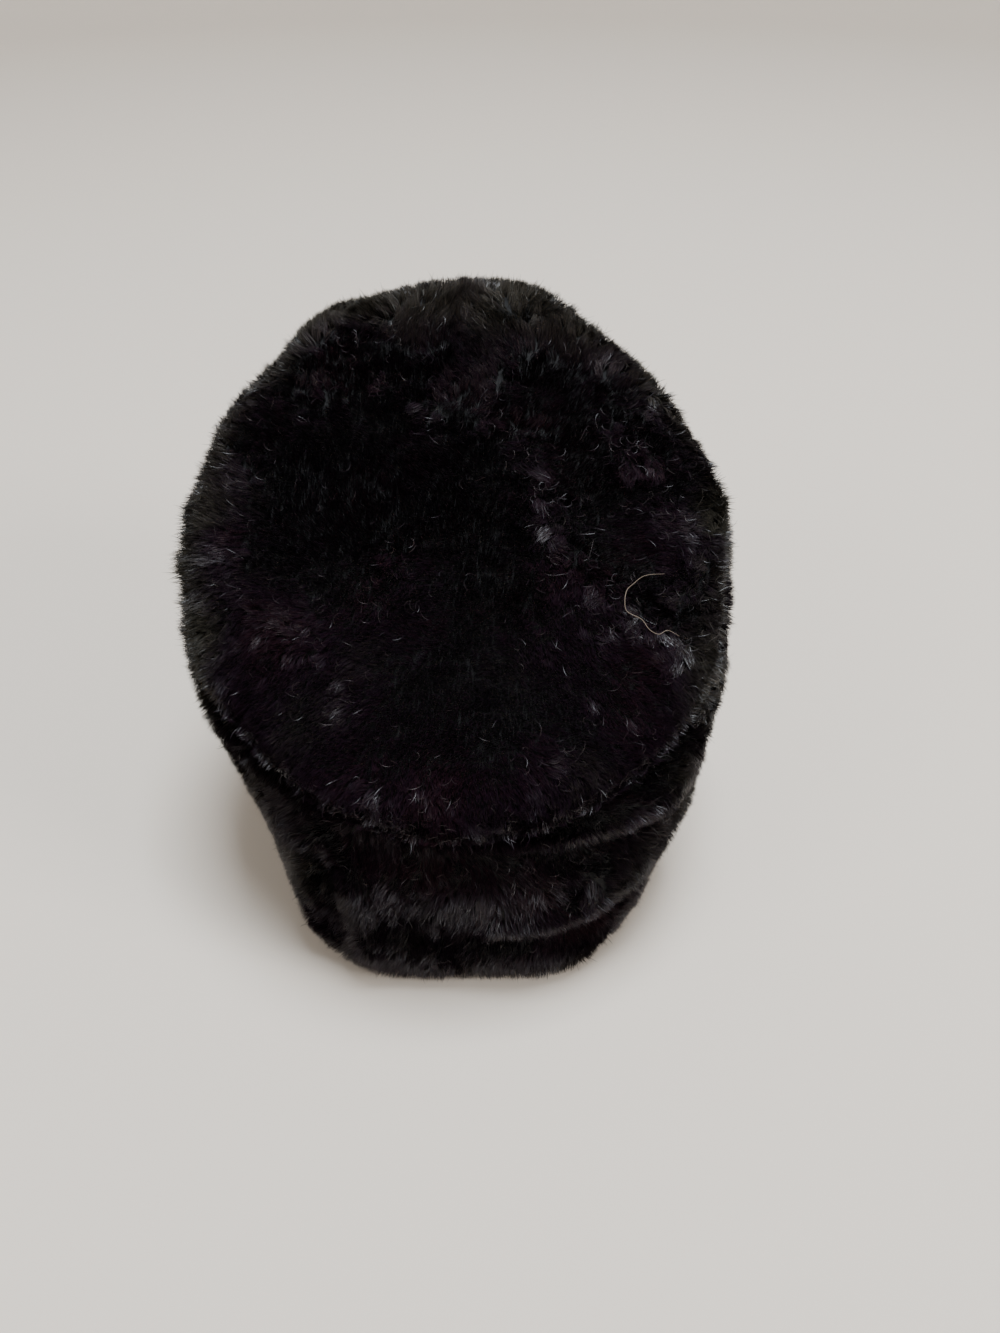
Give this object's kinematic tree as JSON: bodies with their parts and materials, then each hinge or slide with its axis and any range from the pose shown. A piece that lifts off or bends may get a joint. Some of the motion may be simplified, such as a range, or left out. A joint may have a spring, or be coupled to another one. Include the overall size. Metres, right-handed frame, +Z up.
{
  "type": "fur telpek hat",
  "caption": "Tall soft Turkmen telpek of short black sheepskin fur, with a sloping oval crown, a creased nape and an open rim for the head.",
  "frame": {"origin": "middle of the hat's footprint, on the surface that its rim rests on", "axes": "+Z up, +Y towards the brow, -Y towards the nape, +X to the wearer's right"},
  "size_m": [0.2556, 0.2552, 0.2444],
  "materials": {
    "black_fur": "short dense sheepskin pile in small clumps, soft sheen"
  },
  "bodies": {
    "root": {"crown": "black_fur", "side_wall": "black_fur"}
  },
  "joints": []
}
